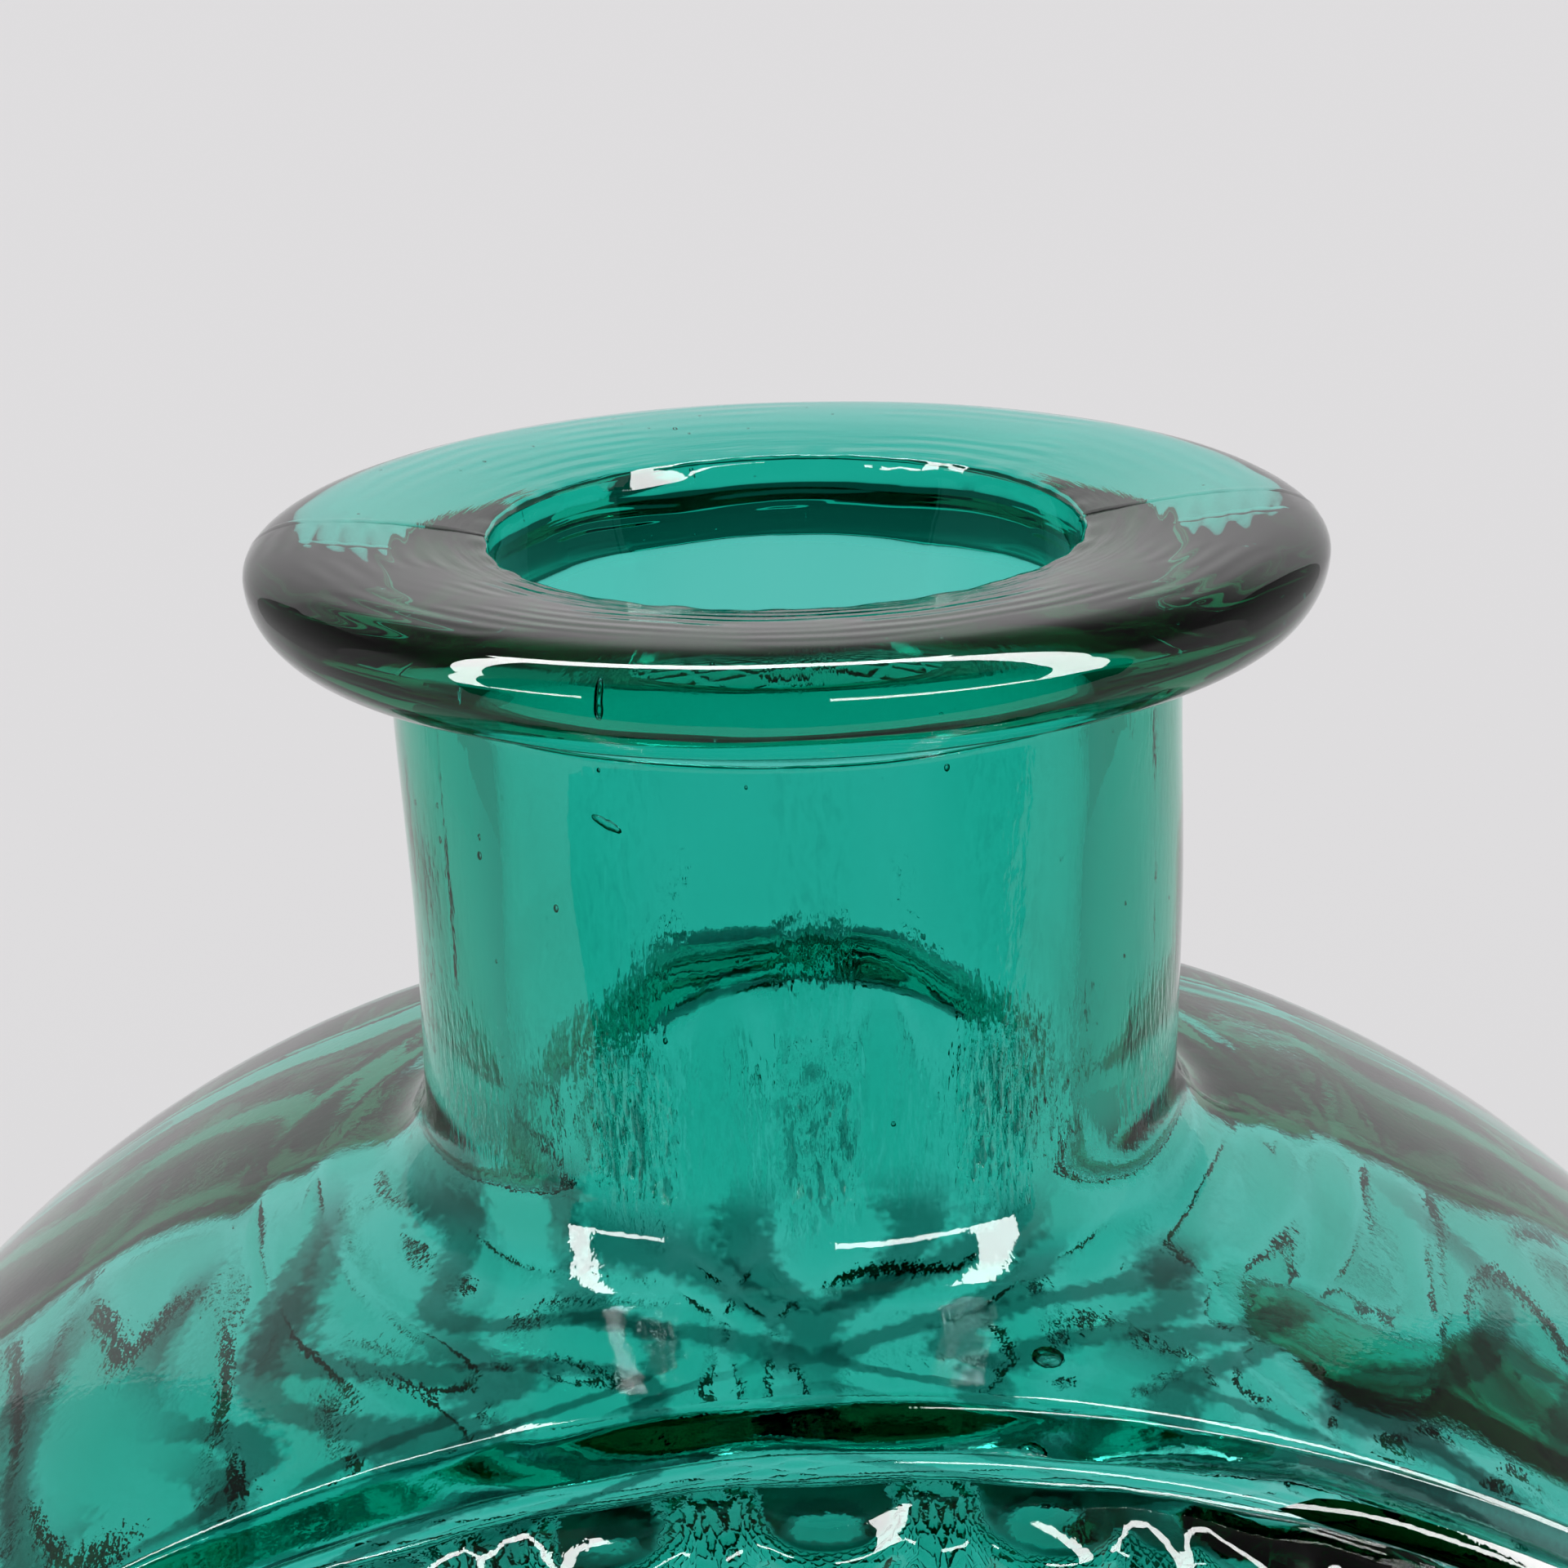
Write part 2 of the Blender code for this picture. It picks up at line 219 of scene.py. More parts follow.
# Waviness of the inner skin, with a ridge behind the seam, rings round the throat and a thinner side
BORE_SWELL = 0.3 * MM
BORE_SWELL_SEED = 12.0
HOLLOW_SWELL = 0.5 * MM
HOLLOW_SWELL_LENGTHS = (22.0 * MM,) * 3
HOLLOW_SWELL_SEED = 14.0
HOLLOW_WAVE = 0.8 * MM
HOLLOW_WAVE_LENGTHS = (8.0 * MM, 60.0 * MM, 8.0 * MM)
HOLLOW_WAVE_SEED = 15.0
SEAM_RIDGE = 0.8 * MM
SEAM_RIDGE_WIDTH = 6.0 * MM
THROAT_RINGS = (23.6 * MM, 26.6 * MM)
THROAT_RING_RISE = 0.15 * MM
THROAT_RING_WIDTH = 0.9 * MM
WEDGE = 3.4 * MM
WEDGE_DEPTHS = (-25.5 * MM, -12.0 * MM)
WEDGE_RADII = (61.5 * MM, 64.5 * MM)
WEDGE_START = (10.0 * MM, 22.0 * MM)
WEDGE_LEVELS = (BODY_AXIS - 10.0 * MM, BODY_AXIS + 35.0 * MM)

# Bubbles: small ones scattered by a seeded draw, and four larger ones at places of their own
BUBBLE_DIVISIONS = 2
SEED_START = 12
LIP_SEEDS = 26
NECK_SEEDS = 22
SEED_SIZES = (0.05 * MM, 0.14 * MM)
SEED_DEPTH = 0.8 * MM
SEED_STRETCH = 1.6
LIP_BUBBLE = (-7.7 * MM, -20.8 * MM, MOUTH - 1.5 * MM)
LIP_BUBBLE_RADII = (0.2 * MM, 0.2 * MM, 0.3 * MM)
NECK_BUBBLE = (-10.3 * MM, -13.6 * MM, MOUTH - 13.1 * MM)
NECK_BUBBLE_RADII = (0.13 * MM, 0.13 * MM, 0.2 * MM)
NECK_SMEAR = (-8.0 * MM, -15.2 * MM, MOUTH - 8.7 * MM)
NECK_SMEAR_RADII = (0.8 * MM, 0.1 * MM, 0.22 * MM)
NECK_SMEAR_TILT = math.radians(30.0)
SHOULDER_BUBBLE = (9.6 * MM, -22.6 * MM)
SHOULDER_BUBBLE_RADII = (0.75 * MM, 0.75 * MM, 0.35 * MM)

# Noise of the material: its middle value, and three degrees of detail
NOISE_MIDDLE = 0.5
PLAIN_NOISE = 0.0
SOFT_NOISE = 1.0
FINE_NOISE = 2.0

# Fine rings on the lip, and a brushed look near the bore
RING_PITCH = 1.1 * MM
RING_HEIGHT = 0.012 * MM
RING_WANDER = 1.2 * MM
RING_WANDER_LENGTHS = (9.0 * MM,) * 3
RING_PATCH_LENGTHS = (7.0 * MM, 5.0 * MM, 7.0 * MM)
RING_PATCH_SPAN = (-0.05, 0.12)
BRUSH_HEIGHT = 0.03 * MM
BRUSH_LENGTHS = (0.3 * MM, 2.4 * MM, 1.0 * MM)
BRUSH_REACH = 5.0 * MM

# Upright streaks low on the neck, in columns, with dark dashes of painted shade on its front
COLUMN_PITCH = 7.8 * MM
COLUMN_OFFSET = 0.3 * MM
COLUMN_SPAN = (-0.1, 0.8)
COLUMN_LEAST_SHARE = 0.12
STREAK_LEVELS = (NECK_ROOT + 6.0 * MM, NECK_ROOT + 10.0 * MM)
STREAK_HIGH_SHARE = 0.12
STREAK_SIDES = (8.0 * MM, 13.0 * MM)
STREAK_SIDE_SHARE = 0.35
STREAK_HEIGHT = 0.26 * MM
STREAK_LENGTHS = (0.4 * MM, 0.4 * MM, 1.3 * MM)
DASH_SPAN = (0.04, 0.11)
DASH_SHARE = 0.8
DASH_REAR = (-4.0 * MM, 0.0)

# Grain of the body, and wavy dark bands of painted shade on the front half of the shoulder
SPECKLE_HEIGHT = 0.008 * MM
SPECKLE_LENGTHS = (0.5 * MM,) * 3
PAINTED_BAND_PITCH = 7.0 * MM
PAINTED_BAND_SPAN = (0.1, 0.8)
PAINTED_BAND_SHARE = 0.95
PAINTED_BAND_LEAST_SHARE = 0.1
PAINTED_BAND_EDGE = 1.8 * MM
PAINTED_BAND_EDGE_LENGTHS = (0.6 * MM,) * 3
PAINTED_BAND_WANDER = 16.0 * MM
PAINTED_BAND_WANDER_LENGTHS = (16.0 * MM,) * 3
PAINTED_BAND_PATCH_LENGTHS = (15.0 * MM,) * 3
PAINTED_BAND_PATCH_SPAN = (-0.12, 0.02)
PAINTED_BAND_PULL = 10.0 * MM
PAINTED_BAND_PULL_FRONT = (-BODY_HALF_DEPTH, -BODY_HALF_DEPTH + 3.0 * MM)
PAINTED_BAND_PULL_REAR = (-BODY_HALF_DEPTH + 4.0 * MM, -BODY_HALF_DEPTH + 10.0 * MM)
PAINTED_BAND_PULL_SIDES = (8.0 * MM, 34.0 * MM)
PAINTED_BAND_PULL_LEAST_SHARE = 0.25
PAINTED_BAND_FRONT = (-BODY_HALF_DEPTH, -BODY_HALF_DEPTH + 1.0 * MM)
PAINTED_BAND_REAR = (-10.0 * MM, 0.0)
PAINTED_BAND_LEVELS = (BODY_AXIS + 40.0 * MM, BODY_AXIS + 48.0 * MM)

# Glass
GLASS_IOR = 1.5
GLASS_ROUGHNESS = 0.0
GLASS_TINT = (1.0, 1.0, 1.0, 1.0)
# Painted shade: the dark tint of the neck's dashes and the shoulder's bands
PAINTED_SHADE_TINT = (0.08, 0.11, 0.11, 1.0)
ABSORPTION_COLOUR = (0.0, 0.86, 0.79, 1.0)
ABSORPTION_DENSITY = 400.0

# Camera, fitted to the outlines of the lip, bore, neck, crest and face edge in the photograph
CAMERA_PLACE = (-2.889 * MM, -125.479 * MM, 199.395 * MM)
CAMERA_PITCH = math.radians(19.933)
CAMERA_YAW = math.radians(1.129)
CAMERA_ROLL = math.radians(-1.69)
CAMERA_LENS = 63.72
CAMERA_SENSOR = 36.0
CAMERA_CLIP = (0.01, 30.0)

# Stage: a pale floor in a pale surround that the glass sees darker to the sides and above; on the floor
# that darkening is painted shade
FLOOR_HALF = 8.0
BACKDROP = (0.735, 0.725, 0.735, 1.0)
WHITE = (1.0, 1.0, 1.0, 1.0)
BLACK = (0.0, 0.0, 0.0, 1.0)
SIDE_SHARE = 0.65
SIDE_TURN_SHARES = (0.3, 1.0)
TOP_SHARE = 0.2
TOP_RISE_SHARES = (0.38, 0.7)
SIDE_CARD_OUT = 0.40
SIDE_CARD_DEPTHS = (0.07, 0.43)
SIDE_CARD_TOP = 0.52
SIDE_CARD_SHARES = (0.45, 0.12)

# A dark opening on the camera's side, pale where it is seen through both walls of the bottle
OPENING_DEPTH = 0.16
OPENING_SIDES = (-0.40, 0.38)
OPENING_TOP = 0.58
STRAIGHT_PASSES = 4.0

# A lit frame over the opening: its rails rise and lean in over the bottle to a bar on top
Rail = namedtuple("Rail", "near far depth level")
LED_SHIFT = -0.055
LED_RAIL = (
    Rail(near=0.20, far=0.315, depth=-0.15, level=0.17),
    Rail(near=0.235, far=0.315, depth=-0.09, level=0.40),
    Rail(near=0.10, far=0.16, depth=0.17, level=0.58),
)
LED_LOW_WIDTH = 0.02
LED_TOP_WIDTH = 0.07
LED_GAP = 0.07
LED_STRENGTH = 17.0
LED_THROUGH_SHARE = 0.04

# Bounces that light may take in the glass
ALL_BOUNCES = 32
GLOSSY_BOUNCES = 16


def smooth_share(value, start, end):
    """Nought before start, one after end, and an even S between them."""
    share = min(max((value - start) / (end - start), 0.0), 1.0)
    return share * share * (3 - 2 * share)


def arc(centre, radii, start, end, steps):
    """Points of an elliptical arc round centre, from one angle to another in degrees."""
    turns = [math.radians(start + (end - start) * step / steps) for step in range(steps + 1)]
    return [(centre[0] + radii[0] * math.cos(t), centre[1] + radii[1] * math.sin(t)) for t in turns]


def between(start, end, steps):
    """Points that part a straight line into even steps, without its ends."""
    shares = [step / steps for step in range(1, steps)]
    return [(start[0] + (end[0] - start[0]) * s, start[1] + (end[1] - start[1]) * s) for s in shares]


def tube_turns():
    """Angles round the upright axis, closer together where the mould seam crosses the lip."""
    turns = []
    turn = 0.0
    while turn < math.pi / 2 - TUBE_TURN / 2:
        turns.append(turn)
        near = math.pi / 2 - turn < SEAM_SPAN
        turn += SEAM_TURN if near else TUBE_TURN
    half = turns + [math.pi / 2] + [math.pi - turn for turn in turns[:0:-1]]
    return half + [turn + math.pi for turn in half]


TUBE_TURNS = tube_turns()


def upright_ring(bm, radius, level):
    """A ring of points round the upright axis, at a level that may follow the plan."""
    ring = []
    for turn in TUBE_TURNS:
        x = radius * math.sin(turn)
        y = -radius * math.cos(turn)
        ring.append(bm.verts.new((x, y, level(x, y))))
    return ring


def bridge(bm, ring, following):
    """Quads between two rings with as many points."""
    for i in range(len(ring)):
        j = (i + 1) % len(ring)
        bm.faces.new((ring[i], ring[j], following[j], following[i]))


def tube(bm, start, outline):
    """Rings for each point of an outline, joined on from a first ring."""
    ring = start
    for radius, level in outline:
        following = upright_ring(bm, radius, lambda x, y, level=level: level)
        bridge(bm, ring, following)
        ring = following
    return ring


def band_radius(drum, depth):
    """Radius of a drum's crowned band at a depth from its middle, rounded off at both ends."""
    depth = min(abs(depth), drum.half_depth)
    fall = drum.fall * (depth / BODY_HALF_DEPTH) ** 2
    into_corner = max(depth - (drum.half_depth - drum.corner), 0.0)
    return drum.crest - fall - drum.corner + math.sqrt(max(drum.corner**2 - into_corner**2, 0.0))


def roof(drum, x, y):
    """Level of the drum's top over a point of the plan."""
    return BODY_AXIS + math.sqrt(band_radius(drum, y) ** 2 - x**2)


def depth_at(drum, walk):
    """Depth from the middle plane after a walk across the band, round its corner."""
    straight = drum.half_depth - drum.corner
    beyond = abs(walk) - straight
    if beyond <= 0.0:
        return walk
    return math.copysign(straight + drum.corner * math.sin(beyond / drum.corner), walk)


def walk_to(drum, depth):
    """The walk across the band that leads to a depth."""
    straight = drum.half_depth - drum.corner
    beyond = abs(depth) - straight
    if beyond <= 0.0:
        return depth
    share = min(beyond / drum.corner, 1.0)
    return math.copysign(straight + drum.corner * math.asin(share), depth)


def row_walks(drum):
    """Walks of the rows from the front face's edge to the rear face's."""
    straight = drum.half_depth - drum.corner
    quarter = drum.corner * math.pi / 2
    corner = [straight + quarter * (1 - step / drum.corner_rows) for step in range(drum.corner_rows)]
    middle = [straight * (2 * step / drum.rows - 1) for step in range(drum.rows + 1)]
    return [-walk for walk in corner] + middle + corner[::-1]


def column_turn(drum, column):
    """Angle of a column from the top of the drum, closer together near the neck."""
    share = 2 * column / drum.columns - 1
    return math.pi * (NEAR_SHARE * share + (1 - NEAR_SHARE) * share**3)


def foot_rise(x, y):
    """Height of the foot's shallow recess over the standing rim."""
    half_length = math.sqrt(BODY_RADIUS**2 - BODY_AXIS**2) - FOOT_RIM
    half_width = BODY_HALF_DEPTH - FOOT_RIM
    inside = half_length * (1 - math.hypot(x / half_length, y / half_width))
    return FOOT_RECESS * smooth_share(inside, 0.0, FOOT_RECESS_SLOPE)


def on_floor(drum, x, y, z):
    """The level of a point once the drum is cut flat at its floor."""
    if drum.floor_round:
        over = z - drum.floor
        return drum.floor + (over + math.hypot(over, drum.floor_round)) / 2
    return foot_rise(x, y) if z < drum.floor else z


def band_place(drum, turn, walk):
    """Point of a drum's band at an angle from its top and a walk from its middle."""
    depth = depth_at(drum, walk)
    radius = band_radius(drum, depth)
    x = radius * math.sin(turn)
    z = BODY_AXIS + radius * math.cos(turn)
    return (x, depth, on_floor(drum, x, depth, z))


def filled(bm, items, hole, inside):
    """Triangles over (vertex, place in mm) pairs, kept where their middle is inside.

    The last pairs, as many as hole says, are a ring whose edges the triangles keep.
    """
    coords = [place for _, place in items]
    first = len(items) - hole
    edges = [(first + i, first + (i + 1) % hole) for i in range(hole)]
    points, _, faces, origins, _, _ = delaunay_2d_cdt(coords, edges, [], 0, CDT_TOLERANCE)
    for face in faces:
        middle = sum((points[i] for i in face), Vector((0.0, 0.0))) / len(face)
        if inside(middle * MM):
            bm.faces.new([items[origins[i][0]][0] for i in face])


def drum_band(bm, drum, hole_ring):
    """The band of a drum round the hole that the neck leaves. Returns its two end rings."""
    walks = row_walks(drum)
    turns = [column_turn(drum, column) for column in range(drum.columns)]
    most_walk = walk_to(drum, drum.hole) + WINDOW_MARGIN
    most_turn = math.asin((drum.hole + WINDOW_MARGIN) / drum.crest)
    rows = [row for row, walk in enumerate(walks) if abs(walk) <= most_walk]
    columns = [column for column, turn in enumerate(turns) if abs(turn) <= most_turn]
    grid = {}
    window = []
    for column, turn in enumerate(turns):
        for row, walk in enumerate(walks):
            place = band_place(drum, turn, walk)
            in_window = rows[0] <= row <= rows[-1] and columns[0] <= column <= columns[-1]
            if in_window and math.hypot(place[0], place[1]) < drum.hole + HOLE_MARGIN:
                continue
            grid[column, row] = bm.verts.new(place)
            if in_window:
                window.append((grid[column, row], Vector((turn * drum.crest, walk)) / MM))
    for column in range(drum.columns):
        beside = (column + 1) % drum.columns
        for row in range(len(walks) - 1):
            if rows[0] <= row < rows[-1] and columns[0] <= column < columns[-1]:
                continue
            corners = ((column, row), (beside, row), (beside, row + 1), (column, row + 1))
            bm.faces.new([grid[corner] for corner in corners])
    for vert in hole_ring:
        turn = math.atan2(vert.co.x, vert.co.z - BODY_AXIS)
        window.append((vert, Vector((turn * drum.crest, walk_to(drum, vert.co.y))) / MM))

    def outside_hole(middle):
        x, y, _ = band_place(drum, middle.x / drum.crest, middle.y)
        return math.hypot(x, y) > drum.hole

    filled(bm, window, len(hole_ring), outside_hole)
    front = [grid[column, 0] for column in range(drum.columns)]
    rear = [grid[column, len(walks) - 1] for column in range(drum.columns)]
    return front, rear


def quilt_height(x, up):
    """Height of the diamond cushions over the face, drawn in at the quilt's round border."""
    rise = x / QUILT_WIDTH + up / QUILT_HEIGHT
    fall = x / QUILT_WIDTH - up / QUILT_HEIGHT
    swell = abs(math.sin(math.pi * rise) * math.sin(math.pi * fall)) ** QUILT_PLUMPNESS
    inside = min(max((QUILT_RADIUS - math.hypot(x, up)) / QUILT_END_ROUND, 0.0), 1.0)
    return (QUILT_GROOVE_RISE + QUILT_SWELL * swell) * math.sqrt(inside * (2 - inside))


def face_ring(bm, drum, side, radius, height):
    """A ring of points on a face, one for each column of the drum."""
    ring = []
    for column in range(drum.columns):
        turn = column_turn(drum, column)
        x = radius * math.sin(turn)
        up = radius * math.cos(turn)
        depth = side * (drum.half_depth + height(x, up))
        ring.append(bm.verts.new((x, depth, on_floor(drum, x, depth, BODY_AXIS + up))))
    return ring


def disc(bm, drum, side, ring, radius, places, height):
    """Fills a face inside its last ring with triangles over the given places."""
    items = []
    for x, up in places:
        if math.hypot(x, up) < radius - DISC_MARGIN:
            depth = side * (drum.half_depth + height(x, up))
            z = on_floor(drum, x, depth, BODY_AXIS + up)
            items.append((bm.verts.new((x, depth, z)), Vector((x, up)) / MM))
    for vert, column in zip(ring, range(drum.columns)):
        turn = column_turn(drum, column)
        items.append((vert, Vector((radius * math.sin(turn), radius * math.cos(turn))) / MM))
    filled(bm, items, len(ring), lambda middle: True)


def lattice(coarse, fine, fine_above):
    """Places in step with the quilt's diamonds, closer together above a level."""
    reach = math.ceil(QUILT_RADIUS / QUILT_WIDTH + QUILT_RADIUS / QUILT_HEIGHT)
    ratio = fine // coarse
    span = reach * fine
    places = []
    for i in range(-span, span + 1):
        for j in range(-span, span + 1):
            up = (i - j) / fine / 2 * QUILT_HEIGHT
            if up > fine_above or (i % ratio == 0 and j % ratio == 0):
                places.append(((i + j) / fine / 2 * QUILT_WIDTH, up))
    return places


def quilted_face(bm, side, ring, coarse, fine):
    """An outer face: a plain rim, and the quilt inside it."""
    edge = band_radius(OUTER, OUTER.half_depth)
    rim = [edge + (QUILT_RADIUS - edge) * step / FACE_RIM_STEPS for step in range(1, FACE_RIM_STEPS + 1)]
    border = [QUILT_RADIUS - share * QUILT_END_ROUND for share in QUILT_END_SHARES]
    for radius in rim + border:
        following = face_ring(bm, OUTER, side, radius, quilt_height)
        bridge(bm, ring, following)
        ring = following
    disc(bm, OUTER, side, ring, radius, lattice(coarse, fine, QUILT_FINE_ABOVE), quilt_height)


def flat_face(bm, side, ring):
    """An inner face: a flat disc on a grid of even steps."""
    radius = band_radius(INNER, INNER.half_depth)
    count = math.ceil(radius / FLAT_STEP)
    steps = range(-count, count + 1)
    places = [((i + j % 2 / 2) * FLAT_STEP, j * FLAT_STEP * TRIANGLE_RISE) for i in steps for j in steps]
    disc(bm, INNER, side, ring, radius, places, lambda x, up: 0.0)


def lip_outline():
    """Outline of the lip from the edge of the bore over the dish and down to the neck."""
    dish_start = BORE_RADIUS + BORE_EDGE_ROUND
    edge_centre = (dish_start, MOUTH - BORE_EDGE_ROUND)
    edge = arc(edge_centre, (BORE_EDGE_ROUND,) * 2, INWARD, UPWARD, EDGE_STEPS)
    crown = (LIP_RADIUS - LIP_EDGE_WIDTH, LIP_EDGE_LEVEL)
    dish = []
    for step in range(1, DISH_STEPS):
        share = step / DISH_STEPS
        radius = dish_start + (crown[0] - dish_start) * share
        dish.append((radius, MOUTH + LIP_DISH * math.sin(share * math.pi / 2)))
    over = arc(crown, (LIP_EDGE_WIDTH, LIP_EDGE_RISE), UPWARD, OUTWARD, LIP_ROUND_STEPS)
    under = arc(crown, (LIP_EDGE_WIDTH, LIP_EDGE_DROP), OUTWARD, -LIP_UNDER_TURN, LIP_ROUND_STEPS)
    fillet_centre = (NECK_RADIUS + LIP_UNDER_FILLET, LIP_BOTTOM)
    fillet = arc(fillet_centre, (LIP_UNDER_FILLET,) * 2, UPWARD + LIP_UNDER_SLOPE, INWARD, FILLET_STEPS)
    cone = between(under[-1], fillet[0], CONE_STEPS)
    return edge[1:] + dish + over + under[1:] + cone + fillet


def straight_wall(bm, ring, drum, radius, start, rise, steps):
    """Rings down a straight wall, from a level start to a height over the roof of a drum."""
    for step in range(1, steps + 1):
        share = step / steps

        def level(x, y, share=share):
            return start + (roof(drum, x, y) + rise - start) * share

        following = upright_ring(bm, radius, level)
        bridge(bm, ring, following)
        ring = following
    return ring


def flare(bm, ring, drum, radius, reach, height, steps):
    """Rings that turn from an upright wall into the roof of a drum."""
    for step in range(1, steps + 1):
        turn = math.pi / 2 * step / steps

        def level(x, y, rise=height * (1 - math.sin(turn))):
            return roof(drum, x, y) + rise

        following = upright_ring(bm, radius + reach * (1 - math.cos(turn)), level)
        bridge(bm, ring, following)
        ring = following
    return ring


def outer_skin(bm, ring):
    """From the edge of the bore over the lip, down the neck and round the body."""
    ring = tube(bm, ring, lip_outline())
    ring = straight_wall(bm, ring, OUTER, NECK_RADIUS, LIP_BOTTOM, NECK_FILLET, NECK_STEPS)
    ring = flare(bm, ring, OUTER, NECK_RADIUS, NECK_FILLET, NECK_FILLET, FILLET_STEPS)
    front, rear = drum_band(bm, OUTER, ring)
    quilted_face(bm, -1, front, *FRONT_DIVISIONS)
    quilted_face(bm, 1, rear, *REAR_DIVISIONS)


def inner_skin(bm, ring):
    """From the edge of the bore down through the neck and round the hollow."""
    start = MOUTH - BORE_EDGE_ROUND
    land_end = MOUTH - BORE_LAND
    land = []
    cone = []
    for step in range(1, LAND_STEPS + 1):
        share = step / LAND_STEPS
        land.append((BORE_RADIUS, start + (land_end - start) * step / LAND_STEPS))
        radius = BORE_RADIUS + (THROAT_RADIUS - BORE_RADIUS) * smooth_share(share, 0.0, 1.0)
        cone.append((radius, land_end - BORE_CONE * share))
    ring = tube(bm, ring, land + cone)
    top = land_end - BORE_CONE
    ring = straight_wall(bm, ring, INNER, THROAT_RADIUS, top, THROAT_RISE, NECK_STEPS // 2)
    ring = flare(bm, ring, INNER, THROAT_RADIUS, THROAT_REACH, THROAT_RISE, THROAT_STEPS)
    front, rear = drum_band(bm, INNER, ring)
    flat_face(bm, -1, front)
    flat_face(bm, 1, rear)


def wave(place, lengths, seed):
    """Smooth noise between about -1 and 1, with its own wavelength along each axis."""
    return noise.noise(Vector([c / length + seed for c, length in zip(place, lengths)]))


def outer_ripple(co):
    """How far the outer skin stands proud of its even shape at a point."""
    radius = math.hypot(co.x, co.y)
    turn = math.atan2(co.x, -co.y)
    lip = smooth_share(co.z, LIP_BOTTOM, LIP_BOTTOM + LIP_UNDER_FILLET)
    neck = smooth_share(co.z, NECK_ROOT - NECK_FILLET, NECK_ROOT + NECK_FILLET) * (1 - lip)
    body = 1 - neck - lip
    round_place = (turn * NECK_RADIUS, 0.0, co.z)
    ripple = lip * LIP_SWELL * wave(co, LIP_SWELL_LENGTHS, LIP_SWELL_SEED)
    wander = LIP_RIPPLE_WANDER * wave(co, LIP_SWELL_LENGTHS, LIP_RIPPLE_WANDER_SEED)
    rings = math.sin(2 * math.pi * (radius + wander) / LIP_RIPPLE_PITCH)
    ripple += lip * LIP_RIPPLE * rings * abs(wave(co, LIP_SWELL_LENGTHS, LIP_RIPPLE_PATCH_SEED))
    bead_share = math.exp(-(((radius - BORE_RADIUS) / BEAD_REACH) ** 2)) * lip
    ripple += BEAD_RISE * bead_share * wave((turn * BORE_RADIUS, 0.0, 0.0), BEAD_LENGTHS, BEAD_SEED)
    ripple += neck * NECK_SWELL * wave(round_place, NECK_SWELL_LENGTHS, NECK_SWELL_SEED)
    ripple += neck * NECK_STREAK * wave(round_place, NECK_STREAK_LENGTHS, NECK_STREAK_SEED)
    ripple += body * BODY_SWELL * wave(co, BODY_SWELL_LENGTHS, BODY_SWELL_SEED)
    ripple += body * BODY_PEEL * wave(co, BODY_PEEL_LENGTHS, BODY_PEEL_SEED)
    seam_place = co.y - SEAM_WANDER * wave(co, SEAM_WANDER_LENGTHS, SEAM_WANDER_SEED)
    seam_share = 1 - SEAM_FADE * smooth_share(radius, BORE_RADIUS, LIP_RADIUS)
    ripple += SEAM_RISE * math.exp(-((seam_place / SEAM_WIDTH) ** 2)) * seam_share
    return ripple


def wedge_share(co):
    """Where the right front of the hollow's roof is thinned: one there, and nought elsewhere."""
    share = (1 - smooth_share(co.y, *WEDGE_DEPTHS)) * smooth_share(co.x, *WEDGE_START)
    share *= smooth_share(math.hypot(co.x, co.z - BODY_AXIS), *WEDGE_RADII)
    return share * smooth_share(co.z, *WEDGE_LEVELS)


def inner_ripple(co):
    """How far the inner skin departs from its even shape at a point."""
    turn = math.atan2(co.x, -co.y)
    radius = math.hypot(co.x, co.y)
    neck = smooth_share(co.z, NECK_ROOT - BODY_WALL, NECK_ROOT)
    round_place = (turn * NECK_RADIUS, 0.0, co.z)
    ripple = neck * BORE_SWELL * wave(round_place, NECK_SWELL_LENGTHS, BORE_SWELL_SEED)
    ripple += (1 - neck) * HOLLOW_SWELL * wave(co, HOLLOW_SWELL_LENGTHS, HOLLOW_SWELL_SEED)
    ripple += (1 - neck) * SEAM_RIDGE * math.exp(-((co.y / SEAM_RIDGE_WIDTH) ** 2))
    for ring in THROAT_RINGS:
        ripple += (1 - neck) * THROAT_RING_RISE * math.exp(-(((radius - ring) / THROAT_RING_WIDTH) ** 2))
    wedge = wedge_share(co)
    ripple += (1 - neck) * WEDGE * wedge
    ripple += (1 - neck) * (1 - wedge) * HOLLOW_WAVE * wave(co, HOLLOW_WAVE_LENGTHS, HOLLOW_WAVE_SEED)
    return ripple


def rippled(bm, layer):
    """Moves every point of both skins along its normal by the ripple of its skin."""
    bm.normal_update()
    moves = []
    for vert in bm.verts:
        ripple = inner_ripple(vert.co) if vert[layer] else -outer_ripple(vert.co)
        moves.append((vert, vert.co - vert.normal * ripple))
    low, high = CAD_BOX
    for vert, place in moves:
        vert.co = [min(max(c, a), b) for c, a, b in zip(place, low, high)]


def bubble(bm, centre, radii, tilt=0.0):
    """A closed hollow in the glass: an egg-shaped skin that faces its own middle."""
    made = bmesh.ops.create_icosphere(bm, subdivisions=BUBBLE_DIVISIONS, radius=1.0)["verts"]
    turn = Matrix.Rotation(tilt, 3, "Y")
    for vert in made:
        vert.co = Vector(centre) + turn @ Vector([c * r for c, r in zip(vert.co, radii)])
    faces = {face for vert in made for face in vert.link_faces}
    bmesh.ops.reverse_faces(bm, faces=list(faces))


